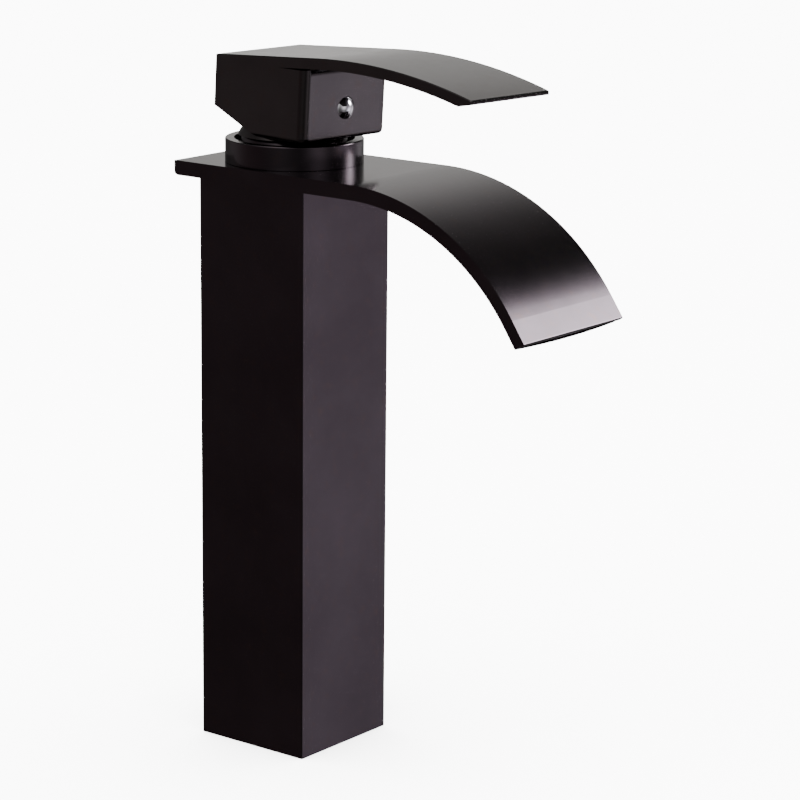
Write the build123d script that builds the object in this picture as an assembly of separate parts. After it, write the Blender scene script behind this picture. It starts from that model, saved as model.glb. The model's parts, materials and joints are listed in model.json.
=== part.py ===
from build123d import *
import os
from math import atan, cos, radians, sin, sqrt

os.makedirs("parts", exist_ok=True)

# Single-lever waterfall mixer on a tall square column.
# Millimetres, +Z up, origin on the deck at the middle of the column, +X towards the basin.

# Driving dimensions
COLUMN_SIDE = 50.5
COLUMN_TOP = 219.4
COLUMN_WALL = 2.5
COLUMN_CORNER = 0.4
FOOT_EDGE = 0.4
PLATE_TOP = 225.0
PLATE_REAR = -35.7
PLATE_HALF_WIDTH = 28.6
SPOUT_STRAIGHT = 49.4
SPOUT_RADIUS = 90.4
SPOUT_SWEEP = 55.7
SPOUT_RUN = 9.6
SPOUT_FLARE_START = 0.0
SPOUT_TAPER = 0.9
MOUTH_EDGE = 0.5
SPOUT_TIP_HALF_WIDTH = 30.4
COVER_THICKNESS = 1.6
CHANNEL_DEPTH = 2.0
CHANNEL_SIDE_WALL = 2.5
LIP_BOW = 0.8
LIP_REACH = 0.3
REAR_CORNER = 1.5
COVER_NOSE = 1.3
PAN_NOSE = 3.0
RING_RADIUS = 26.1
RING_TOP = 234.0
PIVOT_HEIGHT = 225.0
HANDLE_YAW = -6.3
HANDLE_HALF_WIDTH = 21.6
HANDLE_REAR = -19.6
HANDLE_FRONT = 26.6
HANDLE_BOTTOM = 236.2
HANDLE_LEAN = 0.06
LEVER_TIP = 109.6
LEVER_THICKNESS = 4.0
CARTRIDGE_RADIUS = 17.5
PORT_X = 6.0
PORT_Y = 7.0

# Clearances
OVERCUT = 1.0
SLIP = 0.3
RUNNING = 0.08

# Column foot
GASKET_THICKNESS = 1.6
GASKET_BORE = 17.0
BLOCK_TOP = 17.6
INLET_RADIUS = 4.5
INLET_DEPTH = 9.0
STUD_HOLE_RADIUS = 3.4
STUD_HOLE_DEPTH = 12.0
STUD_X = -10.0
PASSAGE_RADIUS = 3.2
RISER_RADIUS = 5.0
RISER_BORE = 4.0
RISER_SOCKET = 5.0

# Valve body
BODY_BOTTOM = 178.0
BODY_FLOOR = 194.0
BODY_BORE = 19.0
NECK_RADIUS = 20.2
NECK_BORE = 18.0
NECK_BORE_START = 224.0
THREAD_RADIUS = 19.5
NECK_TOP = 232.0
OUTLET_HALF_WIDTH = 13.0
SEAL_GROOVE_LOW = 225.2
SEAL_SECTION = 0.74
GASKET_RADIUS = 23.5
GASKET_DEPTH = 0.8

# Parts on the neck
CLAMP_NUT_RADIUS = 21.4
CLAMP_NUT_TOP = 228.2
RING_BORE = 22.6
RING_HOLLOW = 23.9
RING_EDGE = 0.5
BONNET_RADIUS = 21.9
BONNET_LOW = 228.5
BONNET_TOP = 235.7
BONNET_WALL = 0.9
BONNET_OPENING = 13.0
BONNET_EDGE = 0.4
SPANNER_SLOT = 4.0
SPANNER_SLOT_DEPTH = 1.5

# Cartridge
HOUSING_BORE = 16.5
HOUSING_LOW = 196.0
HOUSING_SHOULDER = 228.0
HOUSING_COLLAR = 14.8
HOUSING_TOP = 231.0
HOUSING_LIP_LOW = 226.5
HOUSING_LIP_BORE = 12.6
WINDOW_HALF_WIDTH = 5.0
BASE_TOP = 199.0
PEG_RADIUS = 1.5
PEG_LENGTH = 2.5
PEG_X = -7.0
PEG_Y = 9.5
SEAL_HEIGHT = 1.2
SEAL_OUTER = 4.4
DISC_PORT = 2.6
FIXED_DISC_RADIUS = 16.3
FIXED_DISC_TOP = 203.0
OUTLET_X = -4.0
OUTLET_RADIUS = 3.2
MOVING_DISC_LOW = 203.1
MOVING_DISC_TOP = 206.0
SLIDER_RADIUS = 12.8
SLIDER_FLAT = 11.0
SLIDER_OFFSET = -3.05
POCKET_RADIUS = 5.6
POCKET_DEPTH = 1.4
CARRIER_TOP = 211.4
SOCKET_FLOOR = 206.6
SOCKET_RADIUS = 3.3
ROTOR_LOW = 211.8
ROTOR_TABS_LOW = 207.4
ROTOR_TOP = 232.0
SLOT_HALF_WIDTH = 4.3
SLOT_REACH = 9.5
PIN_RADIUS = 1.5
PIN_HALF_LENGTH = 15.5

# Stem and handle
STEM_SIDE = 8.0
STEM_SHOULDER = 219.0
STEM_TOP = 256.0
STEM_FINGER = 2.6
BALL_RADIUS = 3.0
BALL_HEIGHT = 210.0
LEVER_SLOPE = 0.060
LEVER_HEIGHT = 266.35
LEVER_BEND_START = 32.6
LEVER_BEND_RADIUS = 241.5
LEVER_TIP_HALF_WIDTH = 20.3
LEVER_TIP_CORNER = 1.5
UNDERCUT_START = 103.0
TIP_FACE = 0.5
TIP_BEVEL_RUN = 0.8
TIP_BEVEL_DROP = 0.9
CHAMFER_FRONT = 2.0
CHAMFER_TOP = 246.0
BLOCK_FRONT_CORNER = 3.2
BLOCK_BOTTOM_EDGE = 1.8
UNDERSIDE_FILLET = 3.5
LEVER_EDGE = 0.45
FACING = 0.9
HANDLE_WALL = 3.2
SKIRT_RADIUS = 23.6
SKIRT_WALL = 1.4
SKIRT_LOW = 235.3
SKIRT_TOP = 244.0
CAVITY_TOP = 261.0
BOSS_HALF = 7.5
BOSS_LOW = 243.0
SCREW_HEIGHT = 247.8
SCREW_RADIUS = 2.5
SCREW_LENGTH = 11.0
HEX_SOCKET = 2.5
HEX_DEPTH = 3.0
WEB_HALF = 5.5
PLUG_RADIUS = 4.2
PLUG_DEPTH = 3.5
PLUG_DOME = 1.8

INNER_HALF = COLUMN_SIDE / 2 - COLUMN_WALL
ABOVE = (Align.CENTER, Align.CENTER, Align.MIN)


def disc(radius, low, high):
    """Upright cylinder on the Z axis between two heights."""
    return Pos(0, 0, low) * Cylinder(radius, high - low, align=ABOVE)


def ring(outer, inner, low, high):
    """Upright ring on the Z axis between two heights."""
    return disc(outer, low, high) - disc(inner, low - OVERCUT, high + OVERCUT)


def ball(radius, height):
    """Sphere centred on the Z axis at a height."""
    return Pos(0, 0, height) * Sphere(radius)


def block(x_low, x_high, half_width, low, high):
    """Box between two X positions and two heights, centred across Y."""
    size = (x_high - x_low, 2 * half_width, high - low)
    centre = ((x_low + x_high) / 2, 0, (low + high) / 2)
    return Pos(*centre) * Box(*size)


def twin(shape, x, y):
    """The same shape at +y and at -y."""
    return Pos(x, y, 0) * shape + Pos(x, -y, 0) * shape


def side_solid(edges, half_width):
    """Closed side outline in the XZ plane, made into a solid that is centred across Y."""
    return extrude(Plane.XZ * make_face(edges), amount=half_width, both=True)


def plan_solid(points, low, high):
    """Closed outline seen from above, made into an upright solid."""
    face = Pos(0, 0, low) * make_face(Polyline(*points, close=True))
    return extrude(face, amount=high - low)


# Column and foot


def column_shell():
    """Square tube with rounded upright corners and a softened foot."""
    half = COLUMN_SIDE / 2
    prism = block(-half, half, half, 0, COLUMN_TOP)
    prism = fillet(prism.edges().filter_by(Axis.Z), COLUMN_CORNER)
    prism = fillet(prism.faces().sort_by(Axis.Z)[0].edges(), FOOT_EDGE)
    return prism - block(-INNER_HALF, INNER_HALF, INNER_HALF, -OVERCUT, COLUMN_TOP + OVERCUT)


def base_block():
    """Block in the foot; its round pad comes down to the deck through the gasket."""
    body = block(-INNER_HALF, INNER_HALF, INNER_HALF, GASKET_THICKNESS, BLOCK_TOP)
    body += disc(GASKET_BORE - SLIP, 0, GASKET_THICKNESS)
    inlet = disc(INLET_RADIUS, -OVERCUT, INLET_DEPTH)
    passage = disc(PASSAGE_RADIUS, 0, BLOCK_TOP)
    socket = disc(RISER_RADIUS, BLOCK_TOP - RISER_SOCKET, BLOCK_TOP + OVERCUT)
    body -= twin(inlet + passage + socket, PORT_X, PORT_Y)
    return body - Pos(STUD_X, 0, 0) * disc(STUD_HOLE_RADIUS, -OVERCUT, STUD_HOLE_DEPTH)


def base_gasket():
    return block(-INNER_HALF, INNER_HALF, INNER_HALF, 0, GASKET_THICKNESS) - disc(
        GASKET_BORE, -OVERCUT, GASKET_THICKNESS + OVERCUT
    )


def riser(side):
    tube = ring(RISER_RADIUS, RISER_BORE, BLOCK_TOP - RISER_SOCKET, BODY_BOTTOM + RISER_SOCKET)
    return Pos(PORT_X, side * PORT_Y, 0) * tube


# Valve body and what sits on its neck


def valve_body():
    outlet_low = PLATE_TOP - COVER_THICKNESS - CHANNEL_DEPTH
    body = block(-INNER_HALF, INNER_HALF, INNER_HALF, BODY_BOTTOM, COLUMN_TOP)
    body += disc(NECK_RADIUS, COLUMN_TOP, PLATE_TOP)
    body += disc(THREAD_RADIUS, PLATE_TOP, NECK_TOP)
    body -= disc(BODY_BORE, BODY_FLOOR, NECK_BORE_START)
    body -= disc(NECK_BORE, BODY_FLOOR, NECK_TOP + OVERCUT)
    body -= disc(BODY_BORE, SEAL_GROOVE_LOW, SEAL_GROOVE_LOW + 2 * SEAL_SECTION)
    body -= block(0, NECK_RADIUS + OVERCUT, OUTLET_HALF_WIDTH, outlet_low, outlet_low + CHANNEL_DEPTH)
    passage = disc(PASSAGE_RADIUS, BODY_BOTTOM, BODY_FLOOR + OVERCUT)
    socket = disc(RISER_RADIUS, BODY_BOTTOM - OVERCUT, BODY_BOTTOM + RISER_SOCKET)
    body -= twin(passage + socket, PORT_X, PORT_Y)
    return body - twin(disc(PEG_RADIUS, BODY_FLOOR - PEG_LENGTH, BODY_FLOOR + OVERCUT), PEG_X, PEG_Y)


def clamp_nut():
    return ring(CLAMP_NUT_RADIUS, THREAD_RADIUS, PLATE_TOP, CLAMP_NUT_TOP) - spanner_slots(CLAMP_NUT_TOP)


def spanner_slots(top):
    """Four slots across the upper face of a ring nut."""
    bar = block(-COLUMN_SIDE, COLUMN_SIDE, SPANNER_SLOT / 2, top - SPANNER_SLOT_DEPTH, top + OVERCUT)
    return bar + Rot(0, 0, 90) * bar


def escutcheon_ring():
    body = disc(RING_RADIUS, PLATE_TOP, RING_TOP)
    body = fillet(body.edges().sort_by(Axis.Z)[-1], RING_EDGE)
    body -= disc(RING_BORE, PLATE_TOP - OVERCUT, RING_TOP + OVERCUT)
    return body - ball(RING_HOLLOW, PIVOT_HEIGHT)


def bonnet():
    """Dome concentric with the tilt axis, cut flat on top and open for the stem."""
    body = ball(BONNET_RADIUS, PIVOT_HEIGHT) & disc(COLUMN_SIDE, BONNET_LOW, BONNET_TOP)
    body = fillet(body.edges().sort_by(Axis.Z)[-1], BONNET_EDGE)
    hollow = ball(BONNET_RADIUS - BONNET_WALL, PIVOT_HEIGHT)
    body -= hollow & disc(COLUMN_SIDE, PLATE_TOP, BONNET_TOP - BONNET_WALL)
    return body - disc(BONNET_OPENING, BONNET_LOW, BONNET_TOP + OVERCUT)


# Spout


def spout_layer(rear, upper, lower, run, taper=0.0):
    """Slice of the spout between two depths: flat, arc, straight run, thinner by a taper there."""
    turn = radians(SPOUT_SWEEP)

    def along(depth, angle, distance=0.0):
        radius = SPOUT_RADIUS - depth
        x = SPOUT_STRAIGHT + radius * sin(angle) + distance * cos(angle)
        z = PLATE_TOP - SPOUT_RADIUS + radius * cos(angle) - distance * sin(angle)
        return (x, z)

    outline = [
        Line((rear, PLATE_TOP - upper), along(upper, 0)),
        ThreePointArc(along(upper, 0), along(upper, turn / 2), along(upper, turn)),
        Line(along(upper, turn), along(upper, turn, run)),
        Line(along(upper, turn, run), along(lower - taper, turn, run)),
        Line(along(lower - taper, turn, run), along(lower - taper, turn)),
        ThreePointArc(along(lower - taper, turn), along(lower - taper / 2, turn / 2), along(lower, 0)),
        Line(along(lower, 0), (rear, PLATE_TOP - lower)),
        Line((rear, PLATE_TOP - lower), (rear, PLATE_TOP - upper)),
    ]
    return side_solid(outline, COLUMN_SIDE)


def spout_tip_x():
    turn = radians(SPOUT_SWEEP)
    return SPOUT_STRAIGHT + SPOUT_RADIUS * sin(turn) + SPOUT_RUN * cos(turn)


def spout_plan():
    """Outline of the spout from above, parallel over the column and flared towards the mouth."""
    tip = spout_tip_x()
    flare = (SPOUT_TIP_HALF_WIDTH - PLATE_HALF_WIDTH) / (tip - SPOUT_FLARE_START)
    end = tip + SPOUT_RUN
    end_half = PLATE_HALF_WIDTH + flare * (end - SPOUT_FLARE_START)
    points = [
        (PLATE_REAR, PLATE_HALF_WIDTH),
        (SPOUT_FLARE_START, PLATE_HALF_WIDTH),
        (end, end_half),
        (end, -end_half),
        (SPOUT_FLARE_START, -PLATE_HALF_WIDTH),
        (PLATE_REAR, -PLATE_HALF_WIDTH),
    ]
    plan = plan_solid(points, 0, PLATE_TOP + OVERCUT)
    return fillet(plan.edges().filter_by(Axis.Z).group_by(Axis.X)[0], REAR_CORNER)


def spout_cover():
    layer = spout_layer(PLATE_REAR, 0, COVER_THICKNESS, SPOUT_RUN)
    nose = layer.faces().sort_by(Axis.X)[0].edges().sort_by(Axis.Z)[-1]
    shape = fillet(nose, COVER_NOSE) & spout_plan()
    mouth_edge = shape.edges().filter_by(Axis.Y).sort_by(Axis.X)[-1]
    return fillet(mouth_edge, MOUTH_EDGE) - disc(NECK_RADIUS, 0, PLATE_TOP + OVERCUT)


def spout_pan():
    depth = PLATE_TOP - COLUMN_TOP
    layer = spout_layer(PLATE_REAR, COVER_THICKNESS, depth, SPOUT_RUN + LIP_REACH, SPOUT_TAPER)
    nose = layer.faces().sort_by(Axis.X)[0].edges().sort_by(Axis.Z)[0]
    shape = fillet(nose, PAN_NOSE) & spout_plan()
    shape -= spout_channel()
    shape -= lip_trim()
    shape -= disc(NECK_RADIUS, 0, PLATE_TOP + OVERCUT)
    return shape - disc(GASKET_RADIUS, COLUMN_TOP - OVERCUT, COLUMN_TOP + GASKET_DEPTH)


def spout_channel():
    """Shallow water way from the neck's window to the mouth."""
    floor = COVER_THICKNESS + CHANNEL_DEPTH
    slice_ = spout_layer(0, COVER_THICKNESS - OVERCUT, floor, SPOUT_RUN + OVERCUT)
    start_half = NECK_RADIUS - CHANNEL_SIDE_WALL
    tip = spout_tip_x() + SPOUT_RUN
    points = [
        (OUTLET_HALF_WIDTH, start_half),
        (SPOUT_FLARE_START, PLATE_HALF_WIDTH - CHANNEL_SIDE_WALL),
        (tip, SPOUT_TIP_HALF_WIDTH - CHANNEL_SIDE_WALL),
        (tip, CHANNEL_SIDE_WALL - SPOUT_TIP_HALF_WIDTH),
        (SPOUT_FLARE_START, CHANNEL_SIDE_WALL - PLATE_HALF_WIDTH),
        (OUTLET_HALF_WIDTH, -start_half),
    ]
    return slice_ & plan_solid(points, 0, PLATE_TOP)


def lip_trim():
    """Everything beyond the lower lip's bowed edge, in the tip's own plane."""
    turn = radians(SPOUT_SWEEP)
    bow_radius = (SPOUT_TIP_HALF_WIDTH**2 + LIP_BOW**2) / (2 * LIP_BOW)
    side_run = SPOUT_RUN + LIP_REACH - LIP_BOW
    start = SPOUT_STRAIGHT + SPOUT_RADIUS * sin(turn) + side_run * cos(turn)
    height = PLATE_TOP - SPOUT_RADIUS + SPOUT_RADIUS * cos(turn) - side_run * sin(turn)
    slab = Pos(SPOUT_RUN / 2, 0, 0) * Box(SPOUT_RUN, 2 * COLUMN_SIDE, COLUMN_SIDE)
    bow = Pos(LIP_BOW - bow_radius, 0, 0) * Cylinder(bow_radius, 2 * COLUMN_SIDE)
    return Pos(start, 0, height) * (Rot(0, SPOUT_SWEEP, 0) * (slab - bow))


def spout_gasket():
    return ring(GASKET_RADIUS, NECK_RADIUS, COLUMN_TOP, COLUMN_TOP + GASKET_DEPTH)


# Cartridge, fixed parts


def cartridge_housing():
    body = disc(CARTRIDGE_RADIUS, HOUSING_LOW, HOUSING_SHOULDER)
    body += disc(HOUSING_COLLAR, HOUSING_SHOULDER, HOUSING_TOP)
    body -= disc(HOUSING_BORE, HOUSING_LOW - OVERCUT, HOUSING_LIP_LOW)
    body -= disc(HOUSING_LIP_BORE, HOUSING_LOW, HOUSING_TOP + OVERCUT)
    return body - block(-COLUMN_SIDE, 0, WINDOW_HALF_WIDTH, HOUSING_LOW - OVERCUT, BASE_TOP)


def cartridge_base():
    body = disc(CARTRIDGE_RADIUS, BODY_FLOOR, HOUSING_LOW)
    body += disc(HOUSING_BORE, HOUSING_LOW, BASE_TOP)
    body += twin(disc(PEG_RADIUS, BODY_FLOOR - PEG_LENGTH, BODY_FLOOR), PEG_X, PEG_Y)
    seal_seat = disc(SEAL_OUTER, BODY_FLOOR - OVERCUT, BODY_FLOOR + SEAL_HEIGHT)
    body -= twin(disc(PASSAGE_RADIUS, BODY_FLOOR, BASE_TOP + OVERCUT) + seal_seat, PORT_X, PORT_Y)
    outlet = block(-COLUMN_SIDE, OUTLET_X, OUTLET_RADIUS, HOUSING_LOW, BASE_TOP + OVERCUT)
    return body - outlet - Pos(OUTLET_X, 0, 0) * disc(OUTLET_RADIUS, HOUSING_LOW, BASE_TOP + OVERCUT)


def port_seals():
    return twin(ring(SEAL_OUTER, PASSAGE_RADIUS, BODY_FLOOR, BODY_FLOOR + SEAL_HEIGHT), PORT_X, PORT_Y)


def body_seal():
    middle = (CARTRIDGE_RADIUS + BODY_BORE) / 2
    return Pos(0, 0, SEAL_GROOVE_LOW + SEAL_SECTION) * Torus(middle, SEAL_SECTION)


def fixed_disc():
    body = disc(FIXED_DISC_RADIUS, BASE_TOP, FIXED_DISC_TOP)
    body -= twin(disc(DISC_PORT, BASE_TOP - OVERCUT, FIXED_DISC_TOP + OVERCUT), PORT_X, PORT_Y)
    return body - Pos(OUTLET_X, 0, 0) * disc(OUTLET_RADIUS, BASE_TOP - OVERCUT, FIXED_DISC_TOP + OVERCUT)


def cartridge_nut():
    nut = ring(NECK_BORE, HOUSING_COLLAR, HOUSING_SHOULDER, NECK_TOP)
    return nut - spanner_slots(NECK_TOP)


# Cartridge, moving parts, in the handle's own frame


def slider(low, high):
    """Round slider with two flats, set back by half of its travel."""
    body = Pos(SLIDER_OFFSET, 0, 0) * disc(SLIDER_RADIUS, low, high)
    return body & block(-COLUMN_SIDE, COLUMN_SIDE, SLIDER_FLAT, low, high)


def moving_disc():
    pocket = disc(POCKET_RADIUS, MOVING_DISC_LOW - OVERCUT, MOVING_DISC_LOW + POCKET_DEPTH)
    return slider(MOVING_DISC_LOW, MOVING_DISC_TOP) - Pos(SLIDER_OFFSET, 0, 0) * pocket


def disc_carrier():
    return slider(MOVING_DISC_TOP, CARRIER_TOP) - disc(SOCKET_RADIUS, SOCKET_FLOOR, CARRIER_TOP + OVERCUT)


def stem_carrier():
    radius = HOUSING_BORE - RUNNING
    body = disc(radius, ROTOR_LOW, HOUSING_LIP_LOW - SLIP)
    body += disc(HOUSING_LIP_BORE - RUNNING, HOUSING_LIP_LOW - SLIP, ROTOR_TOP)
    skirt = disc(radius, ROTOR_TABS_LOW, ROTOR_LOW)
    body += skirt - block(-COLUMN_SIDE, COLUMN_SIDE, SLIDER_FLAT + SLIP, ROTOR_TABS_LOW, ROTOR_LOW)
    body -= block(-SLOT_REACH, SLOT_REACH, SLOT_HALF_WIDTH, ROTOR_LOW - OVERCUT, ROTOR_TOP + OVERCUT)
    return body - cross_pin(PIN_RADIUS, PIN_HALF_LENGTH)


def cross_pin(radius, half_length):
    """Cylinder along Y on the tilt axis."""
    return Pos(0, 0, PIVOT_HEIGHT) * (Rot(90, 0, 0) * Cylinder(radius, 2 * half_length))


def stem_pin():
    return cross_pin(PIN_RADIUS, PIN_HALF_LENGTH)


def stem():
    half = STEM_SIDE / 2
    body = block(-half, half, half, STEM_SHOULDER, STEM_TOP)
    body += disc(STEM_FINGER, BALL_HEIGHT, STEM_SHOULDER)
    body += ball(BALL_RADIUS, BALL_HEIGHT)
    return body - cross_pin(PIN_RADIUS + RUNNING, STEM_SIDE)


# Handle, in its own frame with the lever along +X


def front_at(height):
    """X of the block's leaning front face at a height."""
    return HANDLE_FRONT + HANDLE_LEAN * (height - HANDLE_BOTTOM)


def lever_bend():
    """Angle of the straight part and the centre of the arc that follows it."""
    angle = atan(LEVER_SLOPE)
    start_height = LEVER_HEIGHT + LEVER_SLOPE * LEVER_BEND_START
    centre_x = LEVER_BEND_START + LEVER_BEND_RADIUS * sin(angle)
    centre_z = start_height - LEVER_BEND_RADIUS * cos(angle)
    return angle, centre_x, centre_z


def lever_point(x, depth):
    """Point at a depth under the lever's upper surface, on the arc."""
    _, centre_x, centre_z = lever_bend()
    radius = LEVER_BEND_RADIUS - depth
    return (x, centre_z + sqrt(radius**2 - (x - centre_x) ** 2))


def lever_slab():
    angle, centre_x, centre_z = lever_bend()
    thickness = LEVER_THICKNESS / cos(angle)
    rear_top = (HANDLE_REAR, LEVER_HEIGHT + LEVER_SLOPE * HANDLE_REAR)
    rear_low = (HANDLE_REAR - HANDLE_LEAN * thickness, rear_top[1] - thickness)
    bend_top = (LEVER_BEND_START, LEVER_HEIGHT + LEVER_SLOPE * LEVER_BEND_START)
    low_x = LEVER_BEND_START + LEVER_THICKNESS * sin(angle)
    bend_low = lever_point(low_x, LEVER_THICKNESS)
    tip_top = lever_point(LEVER_TIP - TIP_BEVEL_RUN, 0)
    tip_edge = (LEVER_TIP, tip_top[1] - TIP_BEVEL_DROP)
    tip_low = (LEVER_TIP, tip_edge[1] - TIP_FACE)
    heel = lever_point(UNDERCUT_START, LEVER_THICKNESS)
    middle_x = (LEVER_BEND_START + LEVER_TIP) / 2
    outline = [
        Line(rear_top, bend_top),
        ThreePointArc(bend_top, lever_point(middle_x, 0), tip_top),
        Line(tip_top, tip_edge),
        Line(tip_edge, tip_low),
        Line(tip_low, heel),
        ThreePointArc(heel, lever_point(middle_x, LEVER_THICKNESS), bend_low),
        Line(bend_low, rear_low),
        Line(rear_low, rear_top),
    ]
    slab = side_solid(outline, HANDLE_HALF_WIDTH + OVERCUT)
    plan = plan_solid(
        [
            (HANDLE_REAR - OVERCUT, HANDLE_HALF_WIDTH),
            (HANDLE_FRONT, HANDLE_HALF_WIDTH),
            (LEVER_TIP, LEVER_TIP_HALF_WIDTH),
            (LEVER_TIP, -LEVER_TIP_HALF_WIDTH),
            (HANDLE_FRONT, -HANDLE_HALF_WIDTH),
            (HANDLE_REAR - OVERCUT, -HANDLE_HALF_WIDTH),
        ],
        HANDLE_BOTTOM,
        LEVER_HEIGHT + LEVER_THICKNESS,
    )
    slab = slab & plan
    slab = fillet(slab.faces().sort_by(Axis.X)[-1].edges().filter_by(Axis.Z), LEVER_TIP_CORNER)
    return fillet(outer_rim(slab.faces().filter_by(is_upper)), LEVER_EDGE)


def is_upper(face):
    """True for the lever's upper surfaces."""
    return face.normal_at().Z > FACING


def outer_rim(faces):
    """The edges that only one of the faces has."""
    edges = ShapeList(edge for face in faces for edge in face.edges())
    return edges.filter_by(lambda edge: sum(edge.is_same(other) for other in edges) == 1)


def underside_sweep():
    """Concave fillet between the block's front face and the lever's underside."""
    slant = UNDERSIDE_FILLET * (1 - cos(radians(45)))
    angle, _, _ = lever_bend()
    front = front_at(LEVER_HEIGHT - LEVER_THICKNESS)
    height = LEVER_HEIGHT + LEVER_SLOPE * front - LEVER_THICKNESS / cos(angle)
    low = (front_at(height - UNDERSIDE_FILLET), height - UNDERSIDE_FILLET)
    middle = (front + slant, height - slant)
    far = (front + UNDERSIDE_FILLET, height + LEVER_SLOPE * UNDERSIDE_FILLET)
    inside = (front - OVERCUT, height + SLIP)
    outline = [
        ThreePointArc(low, middle, far),
        Line(far, inside),
        Line(inside, (inside[0], low[1])),
        Line((inside[0], low[1]), low),
    ]
    return side_solid(outline, HANDLE_HALF_WIDTH - BLOCK_FRONT_CORNER)


def handle_block():
    """Block under the lever: leaning front and rear, slanted rear underside."""
    block_top = LEVER_HEIGHT - LEVER_THICKNESS / 2 + LEVER_SLOPE * HANDLE_REAR
    rear_top = LEVER_HEIGHT + LEVER_SLOPE * HANDLE_REAR
    outline = Polyline(
        (HANDLE_REAR - HANDLE_LEAN * (rear_top - block_top), block_top),
        (front_at(block_top), block_top),
        (HANDLE_FRONT, HANDLE_BOTTOM),
        (CHAMFER_FRONT, HANDLE_BOTTOM),
        (HANDLE_REAR - HANDLE_LEAN * (rear_top - CHAMFER_TOP), CHAMFER_TOP),
        close=True,
    )
    body = side_solid(outline, HANDLE_HALF_WIDTH)
    front = body.faces().filter_by(lambda face: face.normal_at().X > FACING)[0]
    upright = front.edges().filter_by(lambda edge: abs(edge.tangent_at(0).Z) > FACING)
    body = fillet(upright, BLOCK_FRONT_CORNER)
    return fillet(body.edges().group_by(Axis.Z)[0], BLOCK_BOTTOM_EDGE)


def handle_cavity():
    """Open underside with straight walls."""
    rear = HANDLE_REAR + HANDLE_WALL
    front = HANDLE_FRONT - HANDLE_WALL
    return block(rear, front, HANDLE_HALF_WIDTH - HANDLE_WALL, HANDLE_BOTTOM - OVERCUT, CAVITY_TOP)


def handle_skirt():
    """Round skirt, concentric with the tilt axis, that dips into the ring as the lever rises."""
    shell = ball(SKIRT_RADIUS, PIVOT_HEIGHT) - ball(SKIRT_RADIUS - SKIRT_WALL, PIVOT_HEIGHT)
    return shell & disc(COLUMN_SIDE, SKIRT_LOW, SKIRT_TOP)


def handle():
    """One casting: lever, block, skirt, stem boss and the web with the screw's hole."""
    body = lever_slab() + handle_block() + underside_sweep()
    body -= handle_cavity()
    body += handle_skirt()
    body += block(-BOSS_HALF, BOSS_HALF, BOSS_HALF, BOSS_LOW, CAVITY_TOP)
    body += block(0, HANDLE_FRONT - HANDLE_WALL, WEB_HALF, BOSS_LOW, CAVITY_TOP)
    body -= block(-STEM_SIDE / 2, STEM_SIDE / 2, STEM_SIDE / 2, BOSS_LOW - OVERCUT, STEM_TOP)
    front = front_at(SCREW_HEIGHT)
    body -= along_x(SCREW_RADIUS, 0, front + OVERCUT)
    return body - along_x(PLUG_RADIUS, front - PLUG_DEPTH, front + OVERCUT)


def along_x(radius, start, end):
    """Cylinder along X at the grub screw's height."""
    return Pos(start, 0, SCREW_HEIGHT) * (Rot(0, 90, 0) * Cylinder(radius, end - start, align=ABOVE))


def grub_screw():
    start = STEM_SIDE / 2
    end = start + SCREW_LENGTH
    hexagon = extrude(RegularPolygon(HEX_SOCKET / 2, 6), amount=HEX_DEPTH + OVERCUT)
    socket = Pos(end - HEX_DEPTH, 0, SCREW_HEIGHT) * (Rot(0, 90, 0) * hexagon)
    return along_x(SCREW_RADIUS, start, end) - socket


def index_plug():
    dome_radius = (PLUG_RADIUS**2 + PLUG_DOME**2) / (2 * PLUG_DOME)
    half_x = PLUG_RADIUS / 2
    half_height = PLUG_DEPTH + PLUG_DOME - dome_radius + sqrt(dome_radius**2 - half_x**2)
    outline = [
        Line((0, 0), (PLUG_RADIUS, 0)),
        Line((PLUG_RADIUS, 0), (PLUG_RADIUS, PLUG_DEPTH)),
        ThreePointArc((PLUG_RADIUS, PLUG_DEPTH), (half_x, half_height), (0, PLUG_DEPTH + PLUG_DOME)),
        Line((0, PLUG_DEPTH + PLUG_DOME), (0, 0)),
    ]
    plug = revolve(Plane.XZ * make_face(outline), Axis.Z)
    return Pos(front_at(SCREW_HEIGHT) - PLUG_DEPTH, 0, SCREW_HEIGHT) * (Rot(0, 90, 0) * plug)


FIXED_PARTS = {
    "column_shell": column_shell(),
    "base_block": base_block(),
    "base_gasket": base_gasket(),
    "hot_riser": riser(1),
    "cold_riser": riser(-1),
    "valve_body": valve_body(),
    "spout_pan": spout_pan(),
    "spout_cover": spout_cover(),
    "spout_gasket": spout_gasket(),
    "clamp_nut": clamp_nut(),
    "escutcheon_ring": escutcheon_ring(),
    "bonnet": bonnet(),
    "cartridge_housing": cartridge_housing(),
    "cartridge_base": cartridge_base(),
    "port_seals": port_seals(),
    "body_seal": body_seal(),
    "fixed_disc": fixed_disc(),
    "cartridge_nut": cartridge_nut(),
}

TURNED_PARTS = {
    "stem_carrier": stem_carrier(),
    "stem_pin": stem_pin(),
    "disc_carrier": disc_carrier(),
    "moving_disc": moving_disc(),
    "stem": stem(),
    "grub_screw": grub_screw(),
    "index_plug": index_plug(),
    "handle": handle(),
}

for name, shape in FIXED_PARTS.items():
    export_step(shape, f"parts/{name}.step")
for name, shape in TURNED_PARTS.items():
    export_step(Rot(0, 0, HANDLE_YAW) * shape, f"parts/{name}.step")
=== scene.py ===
import json
import logging
import math
from dataclasses import dataclass, field
from enum import Enum
from typing import Any, Iterable, Optional, Sequence, Union

import bmesh
import bpy
import numpy as np
from mathutils import Matrix, Vector


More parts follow.
